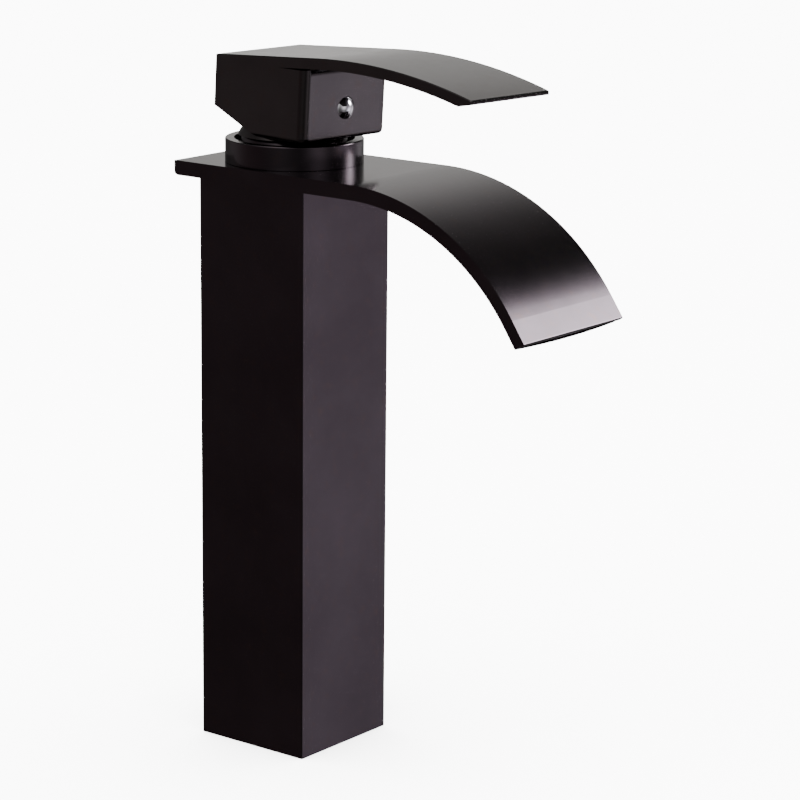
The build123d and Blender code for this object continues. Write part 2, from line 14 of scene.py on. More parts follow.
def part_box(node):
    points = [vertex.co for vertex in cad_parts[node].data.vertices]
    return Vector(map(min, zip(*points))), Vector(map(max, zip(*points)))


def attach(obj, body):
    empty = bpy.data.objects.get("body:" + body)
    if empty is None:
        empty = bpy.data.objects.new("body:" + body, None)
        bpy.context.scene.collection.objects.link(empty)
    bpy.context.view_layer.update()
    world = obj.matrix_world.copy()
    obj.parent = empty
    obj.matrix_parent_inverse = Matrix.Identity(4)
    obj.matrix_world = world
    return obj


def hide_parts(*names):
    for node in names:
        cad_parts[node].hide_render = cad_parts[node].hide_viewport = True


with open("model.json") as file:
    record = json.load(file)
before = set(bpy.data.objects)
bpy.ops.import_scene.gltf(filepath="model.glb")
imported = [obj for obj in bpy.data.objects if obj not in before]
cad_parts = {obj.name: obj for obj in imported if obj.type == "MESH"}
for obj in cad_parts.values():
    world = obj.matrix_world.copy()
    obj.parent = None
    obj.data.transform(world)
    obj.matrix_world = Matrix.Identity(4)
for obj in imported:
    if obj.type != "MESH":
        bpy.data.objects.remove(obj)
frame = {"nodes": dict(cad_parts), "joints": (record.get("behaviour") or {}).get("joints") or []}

LOG = logging.getLogger("mixer")
NOISE_MIDDLE = 0.5
MERGE_DISTANCE = 1e-7
EMPTY_EDGE = 1e-8
SUPPORT_SHARE = 0.1
Triple = tuple[float, float, float]
Colour = tuple[float, float, float]
Number = Union[int, float]


class Body(str, Enum):
    """The bodies that the new pieces ride on."""

    COLUMN = "body"
    LEVER = "lever"


class Slot(str, Enum):
    """The record's material slots."""

    BODY = "bronze_body"
    SPOUT = "bronze_spout"
    HANDLE = "bronze_handle"
    TRIM = "bronze_trim"
    CHROME = "chrome_trim"
    BRASS = "cast_brass"
    COPPER = "copper_tube"
    RUBBER = "seal_rubber"
    HOUSING = "housing_plastic"
    CARRIER = "carrier_plastic"
    CERAMIC = "ceramic"
    STEEL = "steel"


class Grain(Enum):
    """Direction of a finish's faint working marks, as stretch factors on X, Y and Z."""

    NONE = (1.0, 1.0, 1.0)
    UPRIGHT = (1.0, 1.0, 0.05)
    LENGTHWISE = (0.05, 1.0, 0.3)
    TURNED = (0.15, 0.15, 1.0)


# ---------------------------------------------------------------- shader graph


class Value:
    """A shader socket that can be used in ordinary arithmetic."""

    def __init__(self, graph: "Graph", socket: bpy.types.NodeSocket) -> None:
        """Keep the graph and the socket together.

        Args:
            graph: Graph that owns the socket.
            socket: Output socket that carries the value.
        """
        self.graph = graph
        self.socket = socket

    def _join(self, operation: str, first: Any, second: Any) -> "Value":
        """Join two operands with one Math operation.

        Args:
            operation: Name of the Math operation.
            first: First value or number.
            second: Second value or number.

        Returns:
            The result.
        """
        return self.graph.node("ShaderNodeMath", {"operation": operation}, {0: first, 1: second})

    def __add__(self, other: Any) -> "Value":
        """Sum of this and another value."""
        return self._join("ADD", self, other)

    def __radd__(self, other: Any) -> "Value":
        """Sum with the other value first."""
        return self._join("ADD", other, self)

    def __sub__(self, other: Any) -> "Value":
        """This value less another."""
        return self._join("SUBTRACT", self, other)

    def __rsub__(self, other: Any) -> "Value":
        """Another value less this one."""
        return self._join("SUBTRACT", other, self)

    def __mul__(self, other: Any) -> "Value":
        """Product of this and another value."""
        return self._join("MULTIPLY", self, other)

    def __rmul__(self, other: Any) -> "Value":
        """Product with the other value first."""
        return self._join("MULTIPLY", other, self)

    def __pow__(self, other: Any) -> "Value":
        """This value raised to a power."""
        return self._join("POWER", self, other)

    def __rpow__(self, other: Any) -> "Value":
        """Another value raised to this one."""
        return self._join("POWER", other, self)

    def at_least(self, floor: Number) -> "Value":
        """The larger of this value and a floor."""
        return self._join("MAXIMUM", self, floor)

    def at_most(self, ceiling: Number) -> "Value":
        """The smaller of this value and a ceiling."""
        return self._join("MINIMUM", self, ceiling)

    def clamped(self) -> "Value":
        """This value kept between nought and one."""
        return self.at_least(0.0).at_most(1.0)

    def rise(self, start: Number, gain: Number) -> "Value":
        """Nought below a start, climbing by the gain for each unit past it, and one at most."""
        return ((self - start) * gain).clamped()

    def swing(self, weight: Number) -> "Value":
        """A noise's departure from its middle, times a weight."""
        return (self - NOISE_MIDDLE) * weight


class Graph:
    """Node tree of one material or world, with one method that makes every node."""

    def __init__(self, tree: bpy.types.NodeTree) -> None:
        """Start from an empty tree.

        Args:
            tree: Tree to fill.
        """
        self.tree = tree
        self.tree.nodes.clear()

    def node(
        self,
        kind: str,
        settings: Optional[dict[str, Any]] = None,
        inputs: Optional[dict[Union[int, str], Any]] = None,
        output: Union[int, str] = 0,
    ) -> Value:
        """Make a node, set it, feed it, and return one of its outputs.

        Args:
            kind: Node type, such as ShaderNodeMath.
            settings: Properties to set before the inputs.
            inputs: Values, colours or other outputs, by socket name or number.
            output: Name or number of the output to return.

        Returns:
            The chosen output. A node that ends a tree has none, so its first input stands in.
        """
        made = self.tree.nodes.new(kind)
        for name, value in (settings or {}).items():
            setattr(made, name, value)
        for name, value in (inputs or {}).items():
            self._feed(made.inputs[name], value)
        chosen = made.outputs[output] if len(made.outputs) else made.inputs[0]
        return Value(self, chosen)

    def _feed(self, socket: bpy.types.NodeSocket, value: Any) -> None:
        """Link an output to a socket, or set the socket's own value.

        Args:
            socket: Input socket to feed.
            value: Output to link, or the number, colour or vector to set.
        """
        if isinstance(value, Value):
            self.tree.links.new(value.socket, socket)
        elif socket.type == "RGBA" and len(value) == 3:
            socket.default_value = (*value, 1.0)
        else:
            socket.default_value = value

    def vector(
        self, operation: str, inputs: dict[Union[int, str], Any], output: Union[int, str] = 0
    ) -> Value:
        """Vector Math on vectors or colours.

        Args:
            operation: Name of the Vector Math operation.
            inputs: Vectors, colours or numbers, by socket name or number.
            output: Name or number of the output to return.

        Returns:
            The result.
        """
        return self.node("ShaderNodeVectorMath", {"operation": operation}, inputs, output)

    def blend(self, factor: Any, first: Any, second: Any) -> Value:
        """Mix two colours.

        Args:
            factor: Share of the second colour.
            first: Colour at nought.
            second: Colour at one.

        Returns:
            The mixed colour.
        """
        settings = {"data_type": "RGBA", "clamp_factor": True}
        return self.node("ShaderNodeMix", settings, {0: factor, 6: first, 7: second}, output=2)

    def place(self, stretch: Sequence[float] = (1.0, 1.0, 1.0)) -> Value:
        """Object coordinates, in metres, stretched along each axis.

        Args:
            stretch: Factor for each axis. A small factor draws a pattern out along that axis.

        Returns:
            The coordinates.
        """
        coordinates = self.node("ShaderNodeTexCoord", output="Object")
        inputs = {"Vector": coordinates, "Scale": tuple(stretch)}
        return self.node("ShaderNodeMapping", None, inputs)

    def noise(
        self,
        scale: float,
        detail: float = 3.0,
        stretch: Sequence[float] = (1.0, 1.0, 1.0),
        roughness: float = 0.55,
    ) -> Value:
        """Fractal noise on object coordinates.

        Args:
            scale: Features per metre.
            detail: Number of octaves.
            stretch: Factor for each axis.
            roughness: Share of each octave that the next one has.

        Returns:
            Noise from nought to one.
        """
        inputs = {
            "Vector": self.place(stretch),
            "Scale": scale,
            "Detail": detail,
            "Roughness": roughness,
        }
        return self.node("ShaderNodeTexNoise", None, inputs)

    def relief(self, height: Any, depth: float, strength: float) -> Value:
        """Surface normal disturbed by a height.

        Args:
            height: Height from nought to one.
            depth: Size of a full step in metres.
            strength: Share of the effect that is used.

        Returns:
            The normal.
        """
        inputs = {"Height": height, "Distance": depth, "Strength": strength}
        return self.node("ShaderNodeBump", None, inputs)


def new_material(name: str) -> tuple[bpy.types.Material, Graph]:
    """Make a material with an empty tree.

    Args:
        name: Name of the material.

    Returns:
        The material and its graph.
    """
    material = bpy.data.materials.new(name)
    material.use_nodes = True
    return material, Graph(material.node_tree)


def surface(graph: Graph, inputs: dict[str, Any]) -> None:
    """End a material with a Principled surface.

    Args:
        graph: Graph of the material.
        inputs: Sockets of the Principled shader.
    """
    shader = graph.node("ShaderNodeBsdfPrincipled", None, inputs)
    graph.node("ShaderNodeOutputMaterial", None, {"Surface": shader})


# ---------------------------------------------------------------- finishes


@dataclass(frozen=True)
class OilRubbedBronze:
    """Dark lacquered bronze with a faint plum cast, satin gloss and slightly warm mottling."""

    name: str
    dark: Colour = (0.050, 0.042, 0.047)
    light: Colour = (0.068, 0.057, 0.064)
    warm: Colour = (0.085, 0.055, 0.045)
    roughness: float = 0.20
    unevenness: float = 0.05
    grain: Grain = Grain.NONE
    cloud_scale: float = 28.0
    cloud_detail: float = 4.0
    cloud_start: float = 0.35
    cloud_gain: float = 2.4
    cloud_swing: float = 1.2
    mottle_scale: float = 240.0
    mottle_detail: float = 3.0
    mottle_start: float = 0.56
    mottle_gain: float = 5.0
    mottle_swing: float = 0.8
    mottle_height: float = 0.55
    warm_share: float = 0.30
    mark_scale: float = 1500.0
    mark_detail: float = 2.0
    mark_swing: float = 0.9
    mark_height: float = 0.45
    relief_depth: float = 0.000012
    relief_strength: float = 0.35

    def material(self) -> bpy.types.Material:
        """Build the finish.

        The colour drifts between the dark and light tints in clouds a few centimetres wide and
        takes a little of the warm tint in a finer mottle. The roughness follows the clouds, the
        mottle and drawn-out working marks, and the last two leave a very shallow relief.

        Returns:
            The material.
        """
        material, graph = new_material(self.name)
        clouds = graph.noise(self.cloud_scale, self.cloud_detail)
        mottle = graph.noise(self.mottle_scale, self.mottle_detail)
        marks = graph.noise(self.mark_scale, self.mark_detail, self.grain.value)
        drift = clouds.rise(self.cloud_start, self.cloud_gain)
        warmed = mottle.rise(self.mottle_start, self.mottle_gain) * self.warm_share
        colour = graph.blend(drift, self.dark, self.light)
        colour = graph.blend(warmed, colour, self.warm)
        spread = clouds.swing(self.cloud_swing) + mottle.swing(self.mottle_swing)
        spread = spread + marks.swing(self.mark_swing)
        skin = mottle * self.mottle_height + marks * self.mark_height
        surface(
            graph,
            {
                "Base Color": colour,
                "Metallic": 1.0,
                "Roughness": (spread * self.unevenness + self.roughness).clamped(),
                "Normal": graph.relief(skin, self.relief_depth, self.relief_strength),
            },
        )
        return material


@dataclass(frozen=True)
class PolishedChrome:
    """Bright plating with the faintest waviness."""

    name: str
    tint: Colour = (0.86, 0.87, 0.89)
    shade: Colour = (0.78, 0.79, 0.82)
    roughness: float = 0.03
    haze_scale: float = 900.0
    haze_detail: float = 3.0
    haze_roughness: float = 0.05
    relief_depth: float = 0.000004
    relief_strength: float = 0.2

    def material(self) -> bpy.types.Material:
        """Build the finish: bright metal whose tint and gloss drift very slightly.

        Returns:
            The material.
        """
        material, graph = new_material(self.name)
        haze = graph.noise(self.haze_scale, self.haze_detail)
        surface(
            graph,
            {
                "Base Color": graph.blend(haze, self.tint, self.shade),
                "Metallic": 1.0,
                "Roughness": haze * self.haze_roughness + self.roughness,
                "Normal": graph.relief(haze, self.relief_depth, self.relief_strength),
            },
        )
        return material


@dataclass(frozen=True)
class WorkedMetal:
    """Bare metal with tool marks and patches of tarnish."""

    name: str
    bright: Colour
    tarnish: Colour
    roughness: float = 0.32
    grain: Grain = Grain.TURNED
    stain_scale: float = 90.0
    stain_detail: float = 5.0
    stain_start: float = 0.48
    stain_gain: float = 3.0
    stain_share: float = 0.7
    stain_roughness: float = 0.18
    mark_scale: float = 2600.0
    mark_detail: float = 2.0
    mark_roughness: float = 0.16
    mark_mean: float = 0.08
    relief_depth: float = 0.00003
    relief_strength: float = 0.4

    def material(self) -> bpy.types.Material:
        """Build the finish: tarnish gathers in clouds, and tool marks run with the grain.

        Returns:
            The material.
        """
        material, graph = new_material(self.name)
        clouds = graph.noise(self.stain_scale, self.stain_detail)
        marks = graph.noise(self.mark_scale, self.mark_detail, self.grain.value)
        stained = clouds.rise(self.stain_start, self.stain_gain) * self.stain_share
        spread = stained * self.stain_roughness + marks * self.mark_roughness
        surface(
            graph,
            {
                "Base Color": graph.blend(stained, self.bright, self.tarnish),
                "Metallic": 1.0,
                "Roughness": (spread + self.roughness - self.mark_mean).clamped(),
                "Normal": graph.relief(marks, self.relief_depth, self.relief_strength),
            },
        )
        return material


@dataclass(frozen=True)
class Moulded:
    """Plastic, rubber or ceramic with a fine texture and a little dust in its tone."""

    name: str
    tone: Colour
    worn: Colour
    roughness: float
    texture_scale: float = 2200.0
    texture_depth: float = 0.00002
    texture_detail: float = 2.0
    texture_strength: float = 0.5
    texture_roughness: float = 0.15
    cloud_scale: float = 60.0
    cloud_detail: float = 4.0
    cloud_start: float = 0.4
    cloud_gain: float = 2.0

    def material(self) -> bpy.types.Material:
        """Build the finish: an even tone with slow clouds, and a stippled skin.

        Returns:
            The material.
        """
        material, graph = new_material(self.name)
        clouds = graph.noise(self.cloud_scale, self.cloud_detail)
        stipple = graph.noise(self.texture_scale, self.texture_detail)
        dust = clouds.rise(self.cloud_start, self.cloud_gain)
        surface(
            graph,
            {
                "Base Color": graph.blend(dust, self.tone, self.worn),
                "Roughness": (stipple.swing(self.texture_roughness) + self.roughness).clamped(),
                "Normal": graph.relief(stipple, self.texture_depth, self.texture_strength),
            },
        )
        return material


@dataclass(frozen=True)
class FloorPaper:
    """Plain pale studio paper."""

    name: str = "studio_paper"
    tone: Colour = (0.86, 0.86, 0.86)
    shade: Colour = (0.82, 0.82, 0.82)
    roughness: float = 0.9
    drift_scale: float = 1.5
    drift_detail: float = 2.0

    def material(self) -> bpy.types.Material:
        """Build the finish: matt paper with a slow drift of tone.

        Returns:
            The material.
        """
        material, graph = new_material(self.name)
        drift = graph.noise(self.drift_scale, self.drift_detail)
        colour = graph.blend(drift, self.tone, self.shade)
        surface(graph, {"Base Color": colour, "Roughness": self.roughness})
        return material


def finish_table() -> dict[Slot, bpy.types.Material]:
    """Build every finish once.

    Returns:
        The material for each slot of the record.
    """
    finishes = {
        Slot.BODY: OilRubbedBronze("bronze_column", grain=Grain.UPRIGHT),
        Slot.SPOUT: OilRubbedBronze("bronze_spout", roughness=0.17, grain=Grain.LENGTHWISE),
        # Painted highlight: the handle takes a lighter, more neutral copy of the same bronze,
        # standing in for the brighter reflection on the lever's top.
        Slot.HANDLE: OilRubbedBronze(
            "bronze_handle",
            dark=(0.063, 0.057, 0.058),
            light=(0.084, 0.076, 0.076),
            grain=Grain.LENGTHWISE,
        ),
        Slot.TRIM: OilRubbedBronze("bronze_trim", roughness=0.17, grain=Grain.TURNED),
        Slot.CHROME: PolishedChrome("chrome_trim"),
        Slot.BRASS: WorkedMetal("cast_brass", (0.75, 0.57, 0.29), (0.42, 0.30, 0.16)),
        Slot.COPPER: WorkedMetal(
            "copper_tube",
            (0.80, 0.46, 0.33),
            (0.42, 0.20, 0.13),
            roughness=0.26,
            grain=Grain.UPRIGHT,
        ),
        Slot.RUBBER: Moulded("seal_rubber", (0.022, 0.022, 0.023), (0.038, 0.037, 0.036), 0.75),
        Slot.HOUSING: Moulded("housing_plastic", (0.80, 0.80, 0.76), (0.74, 0.73, 0.68), 0.45),
        Slot.CARRIER: Moulded("carrier_plastic", (0.20, 0.22, 0.26), (0.26, 0.28, 0.31), 0.5),
        Slot.CERAMIC: Moulded(
            "lapped_ceramic",
            (0.90, 0.89, 0.86),
            (0.84, 0.82, 0.78),
            roughness=0.16,
            texture_scale=4000.0,
            texture_depth=0.000004,
        ),
        Slot.STEEL: WorkedMetal("stem_steel", (0.63, 0.63, 0.64), (0.47, 0.46, 0.45), 0.28),
    }
    return {slot: finish.material() for slot, finish in finishes.items()}


# ---------------------------------------------------------------- surfaces


def rounded(corners: Sequence[Triple], steps: int) -> np.ndarray:
    """Closed outline whose corners are rounded.

    Each corner with radius r is replaced by an arc that is tangent to both sides. With h half
    the angle between the sides, the arc starts r / tan(h) from the corner, and its centre lies
    r / sin(h) along the middle line. A support point lies SUPPORT_SHARE of a radius further out
    on each side, so that flat faces keep flat shading.

    Args:
        corners: (first coordinate, second coordinate, radius) of each corner, in order.
        steps: Divisions of each arc.

    Returns:
        Points of the outline, shape (n, 2).
    """
    ring = np.asarray(corners, float)
    outline = []
    for index, (x, y, radius) in enumerate(ring):
        corner = np.array([x, y])
        if radius <= 0.0:
            outline.append(corner[None, :])
            continue
        back = ring[index - 1, :2] - corner
        ahead = ring[(index + 1) % len(ring), :2] - corner
        back = back / np.linalg.norm(back)
        ahead = ahead / np.linalg.norm(ahead)
        half = 0.5 * math.acos(float(np.clip(back @ ahead, -1.0, 1.0)))
        reach = radius / math.tan(half)
        middle = (back + ahead) / np.linalg.norm(back + ahead)
        centre = corner + middle * radius / math.sin(half)
        start, end = corner + back * reach - centre, corner + ahead * reach - centre
        share = np.linspace(0.0, 1.0, steps + 1)[:, None]
        sweep = math.pi - 2.0 * half
        weighted = np.sin((1 - share) * sweep) * start + np.sin(share * sweep) * end
        arc = centre + weighted / math.sin(sweep)
        far = reach + SUPPORT_SHARE * radius
        outline.append(np.vstack([corner + back * far, arc, corner + ahead * far]))
    return np.vstack(outline)


def lathe(profile: np.ndarray, segments: int) -> np.ndarray:
    """Surface of revolution about Z.

    Point (i, j) is the profile's i-th radius and height, turned by j / segments of a full turn.

    Args:
        profile: (radius, height) of each profile point.
        segments: Number of steps round the axis.

    Returns:
        Grid of points, shape (profile points, segments, 3).
    """
    turn = np.linspace(0.0, 2.0 * math.pi, segments, endpoint=False)
    radius, height = profile[:, 0:1], profile[:, 1:2]
    return np.stack([radius * np.cos(turn), radius * np.sin(turn), height + 0.0 * turn], axis=-1)


def grid_faces(rows: int, columns: int, closed_rows: bool) -> np.ndarray:
    """Quads of a grid whose last column joins the first.

    The quad at (i, j) joins points (i, j), (i, j+1), (i+1, j+1) and (i+1, j), counted modulo the
    grid's size where it is closed.

    Args:
        rows: Number of rows.
        columns: Number of columns.
        closed_rows: Whether the last row joins the first.

    Returns:
        Vertex numbers of each quad, shape (n, 4).
    """
    span = rows if closed_rows else rows - 1
    i, j = np.meshgrid(np.arange(span), np.arange(columns), indexing="ij")
    below, beside = (i + 1) % rows, (j + 1) % columns
    upper, lower = i * columns, below * columns
    quads = np.stack([upper + j, upper + beside, lower + beside, lower + j], axis=-1)
    return quads.reshape(-1, 4)


def make_piece(name: str, points: np.ndarray, faces: np.ndarray) -> bpy.types.Object:
    """Turn points and quads into a smooth-shaded object at the origin.

    Args:
        name: Name of the object and its mesh.
        points: Points in metres, of shape (..., 3).
        faces: Vertex numbers of each face.

    Returns:
        The linked object.
    """
    mesh = bpy.data.meshes.new(name)
    mesh.from_pydata(points.reshape(-1, 3).tolist(), [], faces.tolist())
    mesh.validate()
    mesh.polygons.foreach_set("use_smooth", np.ones(len(mesh.polygons), bool))
    mesh.update()
    piece = bpy.data.objects.new(name, mesh)
    bpy.context.scene.collection.objects.link(piece)
    return piece


def lathe_piece(name: str, profile: np.ndarray, segments: int, place: Matrix) -> bpy.types.Object:
    """Solid of revolution from a closed profile, placed in its mesh.

    A profile that touches the axis has its poles closed by merging the points that share a
    place, and every face is then turned outwards.

    Args:
        name: Name of the piece.
        profile: Closed (radius, height) outline in metres.
        segments: Number of steps round the axis.
        place: Placement of the axis and origin.

    Returns:
        The piece.
    """
    points = lathe(profile, segments)
    flat = points.reshape(-1, 3)
    turned = flat @ np.array(place.to_3x3()).T + np.array(place.translation)
    piece = make_piece(name, turned, grid_faces(len(profile), segments, True))
    merge_and_orient(piece)
    return piece


def merge_and_orient(piece: bpy.types.Object) -> None:
    """Merge points that share a place, drop the empty faces, and turn all faces outwards.

    Args:
        piece: Object whose mesh is cleaned.
    """
    shell = bmesh.new()
    shell.from_mesh(piece.data)
    bmesh.ops.remove_doubles(shell, verts=shell.verts, dist=MERGE_DISTANCE)
    bmesh.ops.dissolve_degenerate(shell, edges=shell.edges, dist=EMPTY_EDGE)
    bmesh.ops.recalc_face_normals(shell, faces=shell.faces)
    shell.to_mesh(piece.data)
    shell.free()
    piece.data.update()


# ---------------------------------------------------------------- sub-assemblies


@dataclass
class SubAssembly:
    """Pieces of one part of the mixer, with the finishes that they share."""

    finishes: dict[Slot, bpy.types.Material]
    title: str = "part"

    def dress(self, node: str, slot: Slot) -> None:
        """Give a carried-over node its finish.

        Args:
            node: Name of the node.
            slot: Slot whose finish it takes.
        """
        mesh = frame["nodes"][node].data
        mesh.materials.clear()
        mesh.materials.append(self.finishes[slot])
        LOG.info("%s: %s in %s", self.title, node, slot.value)

    def fit(
        self, piece: bpy.types.Object, body: Body, slot: Slot, stands_for: Sequence[str]
    ) -> None:
        """Give a new piece its finish, its body and the nodes that it stands for.

        Args:
            piece: The new piece.
            body: Body that it rides on.
            slot: Slot whose finish it takes.
            stands_for: Nodes that it replaces.
        """
        piece.data.materials.append(self.finishes[slot])
        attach(piece, body.value)
        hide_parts(*stands_for)
        LOG.info("%s: %s with %d faces", self.title, piece.name, len(piece.data.polygons))


@dataclass
class Column(SubAssembly):
    """Square tube, foot block, gasket and riser tubes."""

    title: str = "column"

    def build(self) -> None:
        """Dress the column's own nodes."""
        self.dress("column_shell", Slot.BODY)
        self.dress("base_block", Slot.BRASS)
        self.dress("base_gasket", Slot.RUBBER)
        self.dress("hot_riser", Slot.COPPER)
        self.dress("cold_riser", Slot.COPPER)


@dataclass
class Spout(SubAssembly):
    """Two-layer plate that curves down to the mouth."""

    title: str = "spout"

    def build(self) -> None:
        """Dress the spout's own nodes."""
        self.dress("spout_cover", Slot.SPOUT)
        self.dress("spout_pan", Slot.SPOUT)
        self.dress("spout_gasket", Slot.RUBBER)


@dataclass
class Neck(SubAssembly):
    """Valve body and what sits on its neck: nut, trim ring and dome."""

    title: str = "neck"
    segments: int = 288
    ring_radius: float = 0.0261
    ring_bore: float = 0.0226
    ring_hollow: float = 0.0239
    plate_top: float = 0.225
    ring_top: float = 0.234
    pivot: float = 0.225
    dome_radius: float = 0.0219
    dome_wall: float = 0.0009
    dome_low: float = 0.2285
    dome_top: float = 0.2357
    dome_opening: float = 0.013
    foot_round: float = 0.00018
    rim_round: float = 0.00050
    bore_round: float = 0.00022
    round_steps: int = 6
    arc_steps: int = 14
    shoulder_drop: float = 0.00035
    shoulder_middle: tuple[float, float] = (0.00025, 0.00008)
    shoulder_reach: float = 0.00060
    shoulder_support: float = 0.00075
    opening_round: float = 0.0002

    def sphere_arc(self, radius: float, low: float, high: float) -> np.ndarray:
        """Profile points on a sphere about the tilt axis, between two heights.

        At angle a above the axis's level, a point's radius is r cos(a), and it lies r sin(a)
        above that level.

        Args:
            radius: Radius of the sphere.
            low: Height of the first point.
            high: Height of the last point.

        Returns:
            (radius, height) points from the first height to the last.
        """
        first = math.asin((low - self.pivot) / radius)
        last = math.asin((high - self.pivot) / radius)
        angle = np.linspace(first, last, self.arc_steps + 1)
        return np.stack([radius * np.cos(angle), self.pivot + radius * np.sin(angle)], axis=-1)

    def trim_ring(self) -> bpy.types.Object:
        """Plain collar on the plate: upright wall, softened top edges, spherical hollow.

        Returns:
            The piece.
        """
        lip = self.pivot + math.sqrt(self.ring_hollow**2 - self.ring_bore**2)
        corners = [
            (self.ring_radius, self.plate_top, self.foot_round),
            (self.ring_radius, self.ring_top, self.rim_round),
            (self.ring_bore, self.ring_top, self.bore_round),
            (self.ring_bore, lip, 0.0),
            (self.ring_hollow, self.plate_top, 0.0),
        ]
        outer = rounded(corners, self.round_steps)
        inner = self.sphere_arc(self.ring_hollow, lip, self.plate_top)
        profile = np.vstack([outer[:-2], inner])
        return lathe_piece("trim_ring", profile, self.segments, Matrix.Identity(4))

    def dome(self) -> bpy.types.Object:
        """Thin dome over the cartridge, concentric with the tilt axis and cut flat on top.

        Returns:
            The piece.
        """
        inner_radius = self.dome_radius - self.dome_wall
        ceiling = self.dome_top - self.dome_wall
        outer = self.sphere_arc(self.dome_radius, self.dome_low, self.dome_top - self.shoulder_drop)
        inner = self.sphere_arc(inner_radius, ceiling, self.dome_low)
        edge = outer[-1, 0]
        inwards, down = self.shoulder_middle
        shoulder = np.array(
            [
                [edge - inwards, self.dome_top - down],
                [edge - self.shoulder_reach, self.dome_top],
                [edge - self.shoulder_support, self.dome_top],
                [self.dome_opening + self.opening_round, self.dome_top],
                [self.dome_opening, self.dome_top - self.opening_round],
                [self.dome_opening, ceiling],
            ]
        )
        profile = np.vstack([outer, shoulder, inner])
        return lathe_piece("dome_cap", profile, self.segments, Matrix.Identity(4))

    def build(self) -> None:
        """Dress the hidden nodes and make the collar and the dome."""
        self.dress("valve_body", Slot.BRASS)
        self.dress("clamp_nut", Slot.BRASS)
        self.fit(self.trim_ring(), Body.COLUMN, Slot.TRIM, ("escutcheon_ring",))
        self.fit(self.dome(), Body.COLUMN, Slot.TRIM, ("bonnet",))


@dataclass
class Cartridge(SubAssembly):
    """Ceramic cartridge: housing, discs, carriers and seals."""

    title: str = "cartridge"
    slots: dict[str, Slot] = field(
        default_factory=lambda: {
            "cartridge_housing": Slot.HOUSING,
            "cartridge_base": Slot.HOUSING,
            "cartridge_nut": Slot.BRASS,
            "port_seals": Slot.RUBBER,
            "body_seal": Slot.RUBBER,
            "fixed_disc": Slot.CERAMIC,
            "moving_disc": Slot.CERAMIC,
            "disc_carrier": Slot.CARRIER,
            "stem_carrier": Slot.CARRIER,
            "stem_pin": Slot.STEEL,
            "stem": Slot.STEEL,
        }
    )

    def build(self) -> None:
        """Dress every node of the cartridge."""
        for node, slot in self.slots.items():
            self.dress(node, slot)


@dataclass
class Handle(SubAssembly):
    """Lever casting, its grub screw and the bright index plug."""

    title: str = "handle"
    plug_radius: float = 0.0042
    plug_depth: float = 0.0035
    shoulder: float = 0.00015
    dome_height: float = 0.0018
    back_chamfer: float = 0.0001
    segments: int = 96
    dome_steps: int = 24
    shoulder_steps: int = 4

    def plug_place(self) -> Matrix:
        """Placement of the plug: it faces the way that the lever points.

        The disc slides along the lever's own direction, so its joint's axis gives the plug's.
        The plug's axis crosses the column's, and its tip is the foremost point of its node.

        Returns:
            Matrix that takes the origin to the plug's seat and +Z outwards.
        """
        slide = next(joint for joint in frame["joints"] if joint["name"] == "disc_slide")
        outwards = Vector(slide["axis"]).normalized()
        low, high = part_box("index_plug")
        tip = outwards * (high.x / outwards.x)
        tip.z = 0.5 * (low.z + high.z)
        seat = tip - outwards * (self.plug_depth + self.dome_height)
        return Matrix.Translation(seat) @ outwards.to_track_quat("Z", "Y").to_matrix().to_4x4()

    def plug(self) -> bpy.types.Object:
        """Chromed index plug: a smooth dome on a short shank.

        The profile starts on the axis at the back, follows the shank out and forwards, rounds
        its shoulder, and rises along a circular arc to the middle of the face. An arc of half
        width w and rise h has the radius (w^2 + h^2) / 2h.

        Returns:
            The piece.
        """
        radius, depth, rise = self.plug_radius, self.plug_depth, self.dome_height
        inner = radius - self.shoulder
        arc_radius = (inner**2 + rise**2) / (2.0 * rise)
        reach = inner * np.sin(np.linspace(0.5 * math.pi, 0.0, self.dome_steps + 1))
        face = depth + rise - arc_radius + np.sqrt(arc_radius**2 - reach**2)
        dome = np.stack([reach, face], axis=-1)
        turn = np.linspace(0.0, 0.5 * math.pi, self.shoulder_steps + 1)
        outwards = inner + self.shoulder * np.cos(turn)
        forwards = depth - self.shoulder * (1.0 - np.sin(turn))
        corner = np.stack([outwards, forwards], axis=-1)
        chamfer = self.back_chamfer
        shank = np.array([[0.0, 0.0], [radius - chamfer, 0.0], [radius, chamfer]])
        profile = np.vstack([shank, corner[:-1], dome])
        return lathe_piece("index_jewel", profile, self.segments, self.plug_place())

    def build(self) -> None:
        """Dress the casting and the screw, and make the plug."""
        self.dress("handle", Slot.HANDLE)
        self.dress("grub_screw", Slot.STEEL)
        self.fit(self.plug(), Body.LEVER, Slot.CHROME, ("index_plug",))


# ---------------------------------------------------------------- studio


@dataclass(frozen=True)
class Glow:
    """One soft patch of light in the surrounding studio."""

    towards: Triple
    strength: float
    width_deg: float
    tint: Colour

    def direction(self) -> Triple:
        """Unit direction of the patch's middle."""
        return tuple(Vector(self.towards).normalized())

    def falloff(self) -> float:
        """Exponent factor k for which exp(-k (1 - cos angle)) is one half at the patch's width."""
        return math.log(2.0) / (1.0 - math.cos(math.radians(self.width_deg)))


